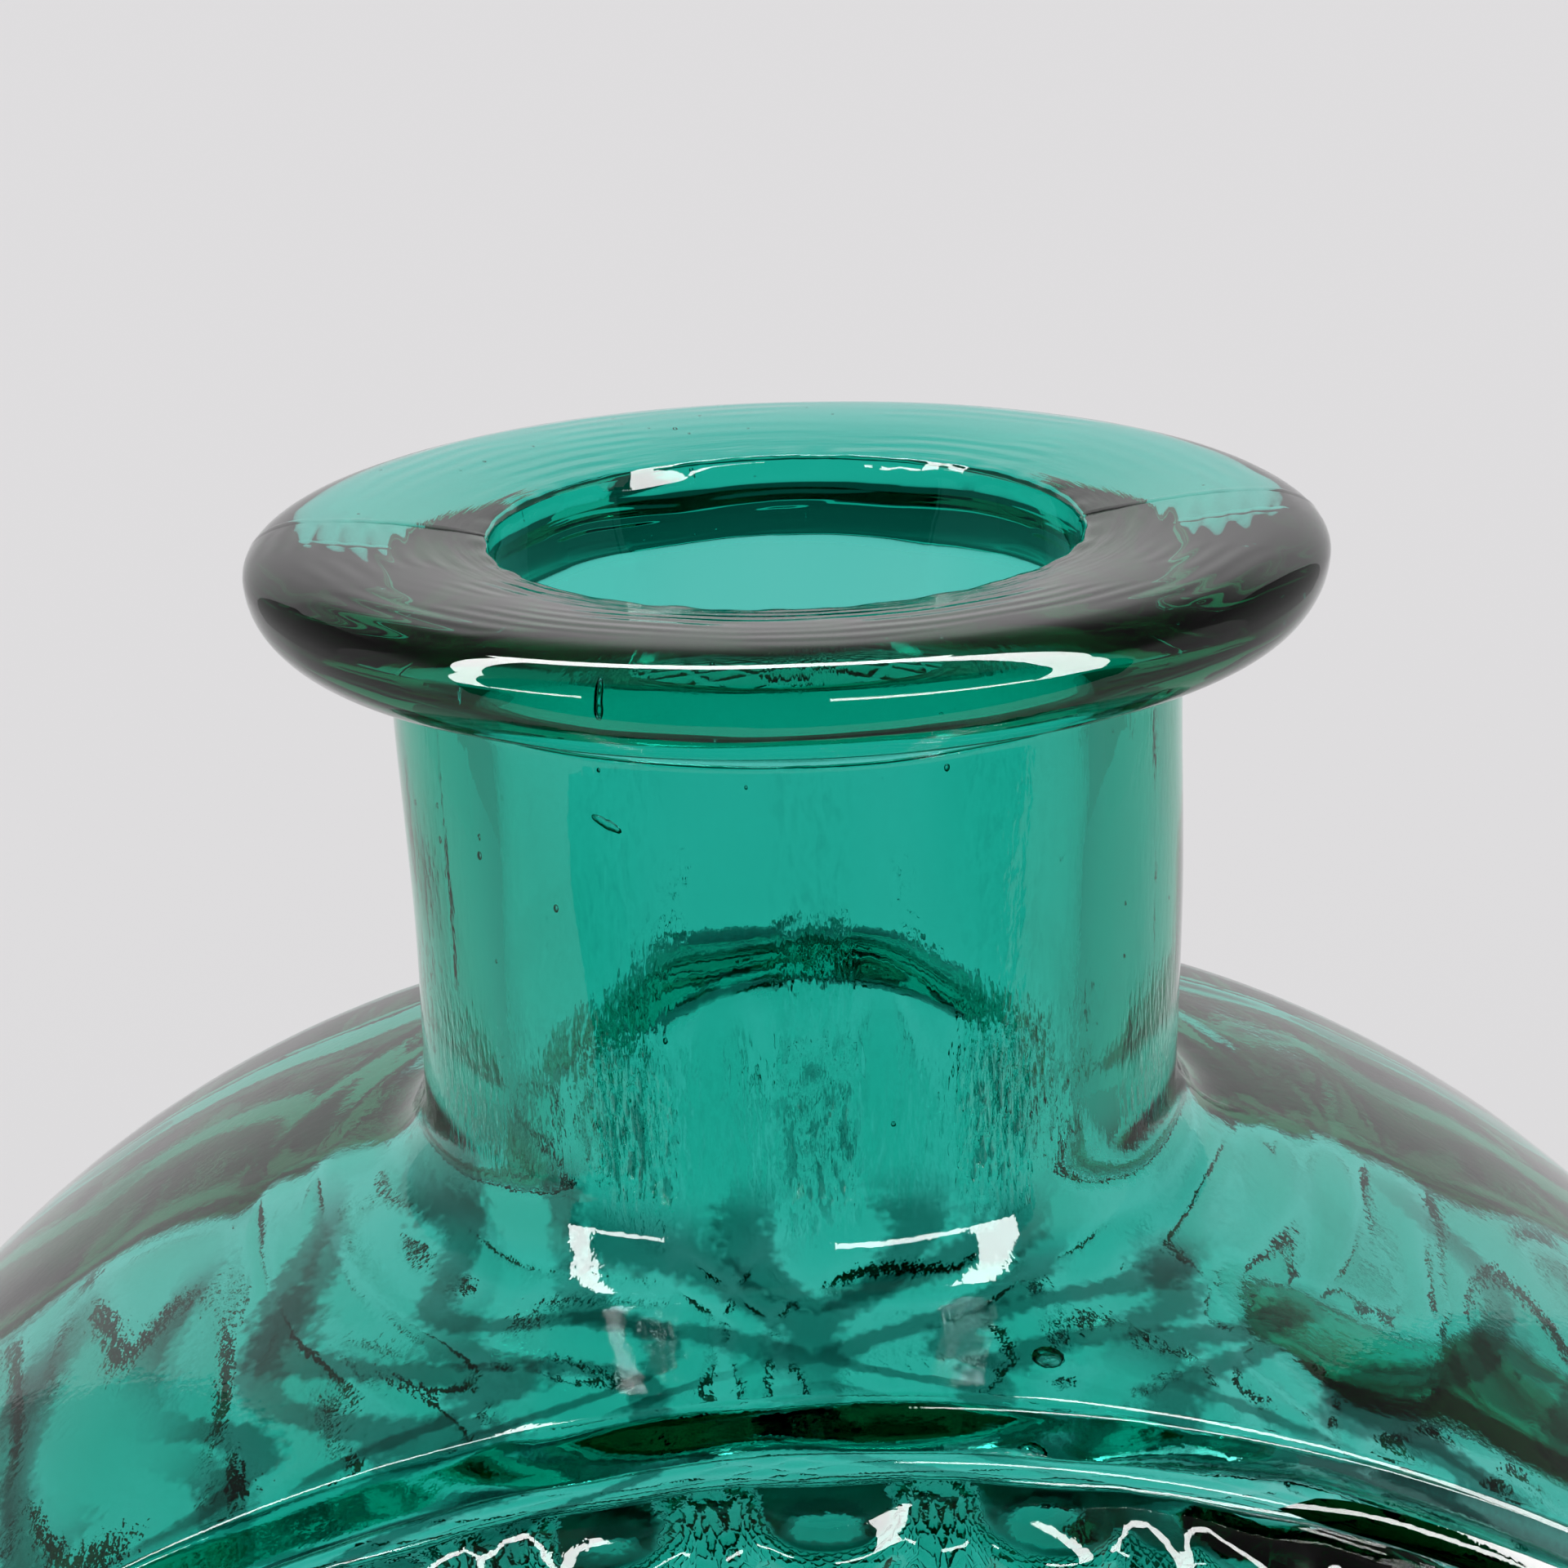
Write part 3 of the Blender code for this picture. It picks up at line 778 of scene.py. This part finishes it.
def seeds():
    """A mesh of small bubbles scattered in the lip's edge and the neck's wall, and four larger ones."""
    bm = bmesh.new()
    chance = random.Random(SEED_START)
    for _ in range(LIP_SEEDS):
        turn = chance.uniform(-math.pi, math.pi)
        radius = chance.uniform(NECK_RADIUS, LIP_RADIUS - LIP_EDGE_RISE)
        size = chance.uniform(*SEED_SIZES)
        level = LIP_EDGE_LEVEL - chance.uniform(0.0, LIP_EDGE_RISE)
        bubble(bm, (radius * math.sin(turn), -radius * math.cos(turn), level), (size, size, size))
    for _ in range(NECK_SEEDS):
        turn = chance.uniform(-math.pi, math.pi)
        radius = NECK_RADIUS - chance.uniform(SEED_DEPTH, NECK_WALL - SEED_DEPTH)
        size = chance.uniform(*SEED_SIZES)
        level = chance.uniform(NECK_ROOT + NECK_FILLET, LIP_BOTTOM)
        centre = (radius * math.sin(turn), -radius * math.cos(turn), level)
        bubble(bm, centre, (size, size, size * SEED_STRETCH))
    bubble(bm, LIP_BUBBLE, LIP_BUBBLE_RADII)
    bubble(bm, NECK_BUBBLE, NECK_BUBBLE_RADII)
    bubble(bm, NECK_SMEAR, NECK_SMEAR_RADII, NECK_SMEAR_TILT)
    x, y = SHOULDER_BUBBLE
    bubble(bm, (x, y, roof(OUTER, x, y) - BODY_WALL / 2), SHOULDER_BUBBLE_RADII)
    mesh = bpy.data.meshes.new("seeds")
    bm.to_mesh(mesh)
    bm.free()
    return mesh


def glass_bottle():
    """The whole bottle as one closed mesh."""
    bm = bmesh.new()
    layer = bm.verts.layers.int.new("inner")
    ring = upright_ring(bm, BORE_RADIUS, lambda x, y: MOUTH - BORE_EDGE_ROUND)
    outer_skin(bm, ring)
    count = len(bm.verts)
    inner_skin(bm, ring)
    bm.verts.ensure_lookup_table()
    for vert in bm.verts[count:]:
        vert[layer] = 1
    bmesh.ops.recalc_face_normals(bm, faces=bm.faces)
    rippled(bm, layer)
    bm.from_mesh(seeds())
    mesh = bpy.data.meshes.new("glass_bottle")
    bm.to_mesh(mesh)
    bm.free()
    mesh.shade_smooth()
    obj = bpy.data.objects.new("glass_bottle", mesh)
    bpy.context.scene.collection.objects.link(obj)
    obj.data.materials.append(sea_green_glass())
    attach(obj, "root")
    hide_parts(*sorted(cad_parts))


def feed(tree, sockets, values):
    """Links each value that is a socket, and sets the others, in order."""
    for socket, value in zip(sockets, values):
        if isinstance(value, bpy.types.NodeSocket):
            tree.links.new(value, socket)
        else:
            socket.default_value = value


def maths(tree, operation, *values):
    """A math node fed with sockets or plain values."""
    node = tree.nodes.new("ShaderNodeMath")
    node.operation = operation
    feed(tree, node.inputs, values)
    return node.outputs["Value"]


def product(tree, first, *others):
    """The product of two or more sockets or values."""
    for other in others:
        first = maths(tree, "MULTIPLY", first, other)
    return first


def mixed(tree, factor, first, second):
    """A colour mix; first and second are sockets or plain colours."""
    node = tree.nodes.new("ShaderNodeMix")
    node.data_type = "RGBA"
    tree.links.new(factor, node.inputs["Factor"])
    feed(tree, [socket for socket in node.inputs if socket.type == "RGBA"], (first, second))
    return [socket for socket in node.outputs if socket.type == "RGBA"][0]


def eased(tree, value, span, start, end):
    """Start before the span, end after it, and an even S between."""
    node = tree.nodes.new("ShaderNodeMapRange")
    node.interpolation_type = "SMOOTHSTEP"
    tree.links.new(value, node.inputs["Value"])
    node.inputs["From Min"].default_value, node.inputs["From Max"].default_value = span
    node.inputs["To Min"].default_value = start
    node.inputs["To Max"].default_value = end
    return node.outputs["Result"]


def parted(tree, place):
    """The X, Y and Z of a place."""
    split = tree.nodes.new("ShaderNodeSeparateXYZ")
    tree.links.new(place, split.inputs["Vector"])
    return split.outputs


def joined(tree, x, y, z):
    """The place that an X, a Y and a Z make."""
    node = tree.nodes.new("ShaderNodeCombineXYZ")
    feed(tree, node.inputs, (x, y, z))
    return node.outputs["Vector"]


def grain(tree, place, lengths, detail, height):
    """Noise about nought along a place, with its own wavelength along each axis."""
    stretch = tree.nodes.new("ShaderNodeVectorMath")
    stretch.operation = "DIVIDE"
    tree.links.new(place, stretch.inputs[0])
    stretch.inputs[1].default_value = lengths
    texture = tree.nodes.new("ShaderNodeTexNoise")
    texture.inputs["Scale"].default_value = 1.0
    texture.inputs["Detail"].default_value = detail
    tree.links.new(stretch.outputs["Vector"], texture.inputs["Vector"])
    return product(tree, maths(tree, "SUBTRACT", texture.outputs["Fac"], NOISE_MIDDLE), height)


Spot = namedtuple("Spot", "place x y z across radius lip neck body")


def surface_spot(tree):
    """Where a point of the surface is, and its shares in the lip, the neck and the body."""
    place = tree.nodes.new("ShaderNodeTexCoord").outputs["Object"]
    x, y, z = parted(tree, place)
    squares = [product(tree, c, c) for c in (x, y)]
    lip = eased(tree, z, (LIP_BOTTOM, LIP_BOTTOM + LIP_UNDER_FILLET), 0.0, 1.0)
    body = eased(tree, z, (NECK_ROOT, NECK_ROOT + NECK_FILLET), 1.0, 0.0)
    return Spot(
        place=place,
        x=x,
        y=y,
        z=z,
        across=maths(tree, "ABSOLUTE", x),
        radius=maths(tree, "SQRT", maths(tree, "ADD", *squares)),
        lip=lip,
        neck=maths(tree, "SUBTRACT", maths(tree, "SUBTRACT", 1.0, lip), body),
        body=body,
    )


def lip_relief(tree, spot):
    """Height of the fine rings and the brushed look of the lip."""
    wander = grain(tree, spot.place, RING_WANDER_LENGTHS, SOFT_NOISE, RING_WANDER)
    phase = product(tree, maths(tree, "ADD", spot.radius, wander), 2 * math.pi / RING_PITCH)
    patches = grain(tree, spot.place, RING_PATCH_LENGTHS, PLAIN_NOISE, 1.0)
    patches = eased(tree, patches, RING_PATCH_SPAN, 0.0, 1.0)
    rings = product(tree, maths(tree, "SINE", phase), RING_HEIGHT, patches)
    along = product(tree, maths(tree, "ARCTAN2", spot.y, spot.x), BORE_RADIUS)
    unrolled = joined(tree, spot.radius, along, 0.0)
    brushed = grain(tree, unrolled, BRUSH_LENGTHS, FINE_NOISE, BRUSH_HEIGHT)
    near_bore = eased(tree, spot.radius, (BORE_RADIUS, BORE_RADIUS + BRUSH_REACH), 1.0, 0.0)
    return product(tree, spot.lip, maths(tree, "ADD", rings, product(tree, brushed, near_bore)))


def neck_streaks(tree, spot):
    """Height of the upright streaks low on the neck, and the share of painted shade in the dark dashes on
    its front.
    """
    phase = product(tree, maths(tree, "SUBTRACT", spot.x, COLUMN_OFFSET), 2 * math.pi / COLUMN_PITCH)
    columns = eased(tree, maths(tree, "COSINE", phase), COLUMN_SPAN, COLUMN_LEAST_SHARE, 1.0)
    low = eased(tree, spot.z, STREAK_LEVELS, 1.0, STREAK_HIGH_SHARE)
    middle = eased(tree, spot.across, STREAK_SIDES, 1.0, STREAK_SIDE_SHARE)
    strength = product(tree, columns, low, middle, spot.neck)
    dashes = grain(tree, spot.place, STREAK_LENGTHS, FINE_NOISE, 1.0)
    front = eased(tree, spot.y, DASH_REAR, 1.0, 0.0)
    # Painted shade: the dark dashes go only into the surface colour; the streaks' relief is real
    dark = product(tree, eased(tree, dashes, DASH_SPAN, 0.0, DASH_SHARE), strength, front)
    return product(tree, dashes, STREAK_HEIGHT, strength), dark


def painted_shoulder_shade(tree, spot):
    """Share of painted shade in wavy dark bands on the shoulder, bent toward the middle beside the face."""
    edge = grain(tree, spot.place, PAINTED_BAND_EDGE_LENGTHS, SOFT_NOISE, PAINTED_BAND_EDGE)
    wander = grain(tree, spot.place, PAINTED_BAND_WANDER_LENGTHS, SOFT_NOISE, PAINTED_BAND_WANDER)
    pull = product(
        tree,
        eased(tree, spot.y, PAINTED_BAND_PULL_FRONT, 0.0, PAINTED_BAND_PULL),
        eased(tree, spot.y, PAINTED_BAND_PULL_REAR, 1.0, 0.0),
        eased(tree, spot.across, PAINTED_BAND_PULL_SIDES, 1.0, PAINTED_BAND_PULL_LEAST_SHARE),
    )
    bend = maths(tree, "ADD", maths(tree, "ADD", wander, edge), pull)
    phase = product(tree, maths(tree, "ADD", spot.across, bend), 2 * math.pi / PAINTED_BAND_PITCH)
    patches = grain(tree, spot.place, PAINTED_BAND_PATCH_LENGTHS, PLAIN_NOISE, 1.0)
    # Painted shade: these bands are only in the surface colour and have no relief
    return product(
        tree,
        eased(tree, maths(tree, "SINE", phase), PAINTED_BAND_SPAN, 0.0, PAINTED_BAND_SHARE),
        eased(tree, patches, PAINTED_BAND_PATCH_SPAN, PAINTED_BAND_LEAST_SHARE, 1.0),
        eased(tree, spot.y, PAINTED_BAND_FRONT, 0.0, 1.0),
        eased(tree, spot.y, PAINTED_BAND_REAR, 1.0, 0.0),
        eased(tree, spot.z, PAINTED_BAND_LEVELS, 0.0, 1.0),
        spot.body,
    )


def surface_detail(tree):
    """Height of the fine wrinkles all over the glass, and its share of painted shade."""
    spot = surface_spot(tree)
    streaks, dashes = neck_streaks(tree, spot)
    speckle = product(tree, grain(tree, spot.place, SPECKLE_LENGTHS, FINE_NOISE, SPECKLE_HEIGHT), spot.body)
    relief = maths(tree, "ADD", maths(tree, "ADD", lip_relief(tree, spot), streaks), speckle)
    return relief, maths(tree, "MAXIMUM", dashes, painted_shoulder_shade(tree, spot))


def sea_green_glass():
    """Clear glass, coloured by what it absorbs along the way through it, with painted shade in its surface
    colour on the neck and shoulder.
    """
    material = bpy.data.materials.new("sea_green_glass")
    material.use_nodes = True
    nodes = material.node_tree.nodes
    links = material.node_tree.links
    shader = nodes["Principled BSDF"]
    shader.inputs["Roughness"].default_value = GLASS_ROUGHNESS
    shader.inputs["IOR"].default_value = GLASS_IOR
    shader.inputs["Transmission Weight"].default_value = 1.0
    bump = nodes.new("ShaderNodeBump")
    bump.inputs["Distance"].default_value = 1.0
    relief, painted_shade = surface_detail(material.node_tree)
    # Painted shade: the surface colour darkens toward the dark tint in the dashes and bands
    links.new(mixed(material.node_tree, painted_shade, GLASS_TINT, PAINTED_SHADE_TINT), shader.inputs["Base Color"])
    links.new(relief, bump.inputs["Height"])
    links.new(bump.outputs["Normal"], shader.inputs["Normal"])
    absorption = nodes.new("ShaderNodeVolumeAbsorption")
    absorption.inputs["Color"].default_value = ABSORPTION_COLOUR
    absorption.inputs["Density"].default_value = ABSORPTION_DENSITY
    links.new(absorption.outputs["Volume"], nodes["Material Output"].inputs["Volume"])
    return material


def camera():
    """The photograph's camera."""
    data = bpy.data.cameras.new("camera")
    data.lens = CAMERA_LENS
    data.sensor_width = CAMERA_SENSOR
    data.clip_start, data.clip_end = CAMERA_CLIP
    obj = bpy.data.objects.new("camera", data)
    turn = Matrix.Rotation(-CAMERA_YAW, 3, "Z") @ Matrix.Rotation(math.pi / 2 - CAMERA_PITCH, 3, "X")
    turn = turn @ Matrix.Rotation(CAMERA_ROLL, 3, "Z")
    obj.matrix_world = Matrix.Translation(CAMERA_PLACE) @ turn.to_4x4()
    bpy.context.scene.collection.objects.link(obj)
    bpy.context.scene.camera = obj


def seen_in_glass(tree):
    """One for rays that come from a reflection or refraction, nought for the others."""
    path = tree.nodes.new("ShaderNodeLightPath")
    return maths(tree, "MAXIMUM", path.outputs["Is Glossy Ray"], path.outputs["Is Transmission Ray"])


def backdrop_fall(tree, coordinates):
    """The backdrop's colour as the glass sees it: full at the back, darker to the sides and above. On the
    floor this darkening is painted shade.
    """
    length = tree.nodes.new("ShaderNodeVectorMath")
    length.operation = "NORMALIZE"
    tree.links.new(tree.nodes.new("ShaderNodeTexCoord").outputs[coordinates], length.inputs[0])
    _, y, z = parted(tree, length.outputs["Vector"])
    around = eased(tree, y, SIDE_TURN_SHARES, SIDE_SHARE, 1.0)
    above = eased(tree, z, TOP_RISE_SHARES, 1.0, TOP_SHARE)
    return mixed(tree, product(tree, around, above), BLACK, BACKDROP)


def emitter(name, colour, strength):
    """A material that gives light of one colour and strength."""
    material = bpy.data.materials.new(name)
    material.use_nodes = True
    nodes = material.node_tree.nodes
    nodes.remove(nodes["Principled BSDF"])
    light = nodes.new("ShaderNodeEmission")
    light.inputs["Color"].default_value = colour
    light.inputs["Strength"].default_value = strength
    material.node_tree.links.new(light.outputs["Emission"], nodes["Material Output"].inputs["Surface"])
    return material


def led_white():
    """Lit white, dimmer for what comes through the glass than for what it mirrors."""
    material = emitter("led_white", WHITE, LED_STRENGTH)
    tree = material.node_tree
    through = tree.nodes.new("ShaderNodeLightPath").outputs["Is Transmission Ray"]
    strength = eased(tree, through, (0.0, 1.0), LED_STRENGTH, LED_STRENGTH * LED_THROUGH_SHARE)
    tree.links.new(strength, tree.nodes["Emission"].inputs["Strength"])
    return material


def opening_dark():
    """Dark, but pale where it is seen straight through two walls of glass, from behind the bottle."""
    material = emitter("opening_dark", BLACK, 1.0)
    tree = material.node_tree
    path = tree.nodes.new("ShaderNodeLightPath")
    direct = maths(tree, "COMPARE", path.outputs["Ray Depth"], STRAIGHT_PASSES, 0.0)
    passes = maths(tree, "COMPARE", path.outputs["Transmission Depth"], STRAIGHT_PASSES, 0.0)
    through = product(tree, direct, passes)
    tree.links.new(mixed(tree, through, BLACK, BACKDROP), tree.nodes["Emission"].inputs["Color"])
    return material


def side_grey():
    """Grey that darkens upward, as a side wall out of the light does."""
    material = emitter("side_grey", BLACK, 1.0)
    tree = material.node_tree
    _, _, z = parted(tree, tree.nodes.new("ShaderNodeTexCoord").outputs["Object"])
    share = eased(tree, z, (0.0, SIDE_CARD_TOP), *SIDE_CARD_SHARES)
    tree.links.new(mixed(tree, share, BLACK, WHITE), tree.nodes["Emission"].inputs["Color"])
    return material


def card(name, left_edge, right_edge, material):
    """A sheet between two edges of as many points, that only the glass can see."""
    bm = bmesh.new()
    first = [bm.verts.new(place) for place in left_edge]
    second = [bm.verts.new(place) for place in right_edge]
    for i in range(len(first) - 1):
        bm.faces.new((first[i], second[i], second[i + 1], first[i + 1]))
    mesh = bpy.data.meshes.new(name)
    bm.to_mesh(mesh)
    bm.free()
    obj = bpy.data.objects.new(name, mesh)
    obj.data.materials.append(material)
    obj.visible_camera = False
    obj.visible_diffuse = False
    obj.visible_shadow = False
    bpy.context.scene.collection.objects.link(obj)


def upright_card(name, start, end, levels, material):
    """An upright sheet over a line of the plan, between two levels."""
    card(name, [(*start, z) for z in levels], [(*end, z) for z in levels], material)


def light_box():
    """The dark opening, the lit frame that leans in over the bottle, and a grey wall at each side."""
    left, right = [(x, -OPENING_DEPTH) for x in OPENING_SIDES]
    upright_card("opening", left, right, (0.0, OPENING_TOP), opening_dark())
    lit = led_white()
    foot = LED_RAIL[0]
    for side, name in ((-1, "left"), (1, "right")):
        inner = [(LED_SHIFT + side * rail.near, rail.depth, rail.level) for rail in LED_RAIL]
        outer = [(LED_SHIFT + side * rail.far, rail.depth, rail.level) for rail in LED_RAIL]
        card("led_" + name, inner, outer, lit)
        start = (LED_SHIFT + side * foot.near, foot.depth)
        end = (LED_SHIFT + side * LED_GAP, foot.depth)
        upright_card("led_low_" + name, start, end, (foot.level, foot.level + LED_LOW_WIDTH), lit)
    head = LED_RAIL[-1]
    depths = (head.depth - LED_TOP_WIDTH / 2, head.depth + LED_TOP_WIDTH / 2)
    ends = [[(LED_SHIFT + side * head.far, depth, head.level) for depth in depths] for side in (-1, 1)]
    card("led_top", *ends, lit)
    for side, name in ((-1, "left"), (1, "right")):
        near, far = [(side * SIDE_CARD_OUT, depth) for depth in SIDE_CARD_DEPTHS]
        upright_card("side_" + name, near, far, (0.0, SIDE_CARD_TOP), side_grey())


def floor():
    """A pale floor that keeps the bottle's shadow. As the glass sees it, its colour carries painted shade:
    darker to the front and sides.
    """
    mesh = bpy.data.meshes.new("floor")
    bm = bmesh.new()
    corners = ((-1, -1), (1, -1), (1, 1), (-1, 1))
    bm.faces.new([bm.verts.new((x * FLOOR_HALF, y * FLOOR_HALF, 0.0)) for x, y in corners])
    bm.to_mesh(mesh)
    bm.free()
    obj = bpy.data.objects.new("floor", mesh)
    material = bpy.data.materials.new("floor_pale")
    material.use_nodes = True
    tree = material.node_tree
    shader = tree.nodes["Principled BSDF"]
    # Painted shade: to the glass, the floor is darker everywhere but behind the bottle
    colour = mixed(tree, seen_in_glass(tree), BACKDROP, backdrop_fall(tree, "Object"))
    tree.links.new(colour, shader.inputs["Base Color"])
    shader.inputs["Roughness"].default_value = 1.0
    shader.inputs["Specular IOR Level"].default_value = 0.0
    mesh.materials.append(material)
    bpy.context.scene.collection.objects.link(obj)


def surround():
    """A white surround that lights the floor, pale to the camera and graded to the glass."""
    world = bpy.data.worlds.new("surround")
    world.use_nodes = True
    tree = world.node_tree
    camera_ray = tree.nodes.new("ShaderNodeLightPath").outputs["Is Camera Ray"]
    direct = mixed(tree, camera_ray, WHITE, BACKDROP)
    colour = mixed(tree, seen_in_glass(tree), direct, backdrop_fall(tree, "Generated"))
    tree.links.new(colour, tree.nodes["Background"].inputs["Color"])
    bpy.context.scene.world = world


glass_bottle()
camera()
floor()
surround()
light_box()
scene = bpy.context.scene
scene.view_settings.view_transform = "Standard"
scene.cycles.max_bounces = ALL_BOUNCES
scene.cycles.transmission_bounces = ALL_BOUNCES
scene.cycles.glossy_bounces = GLOSSY_BOUNCES
scene.cycles.sample_clamp_indirect = 0.0
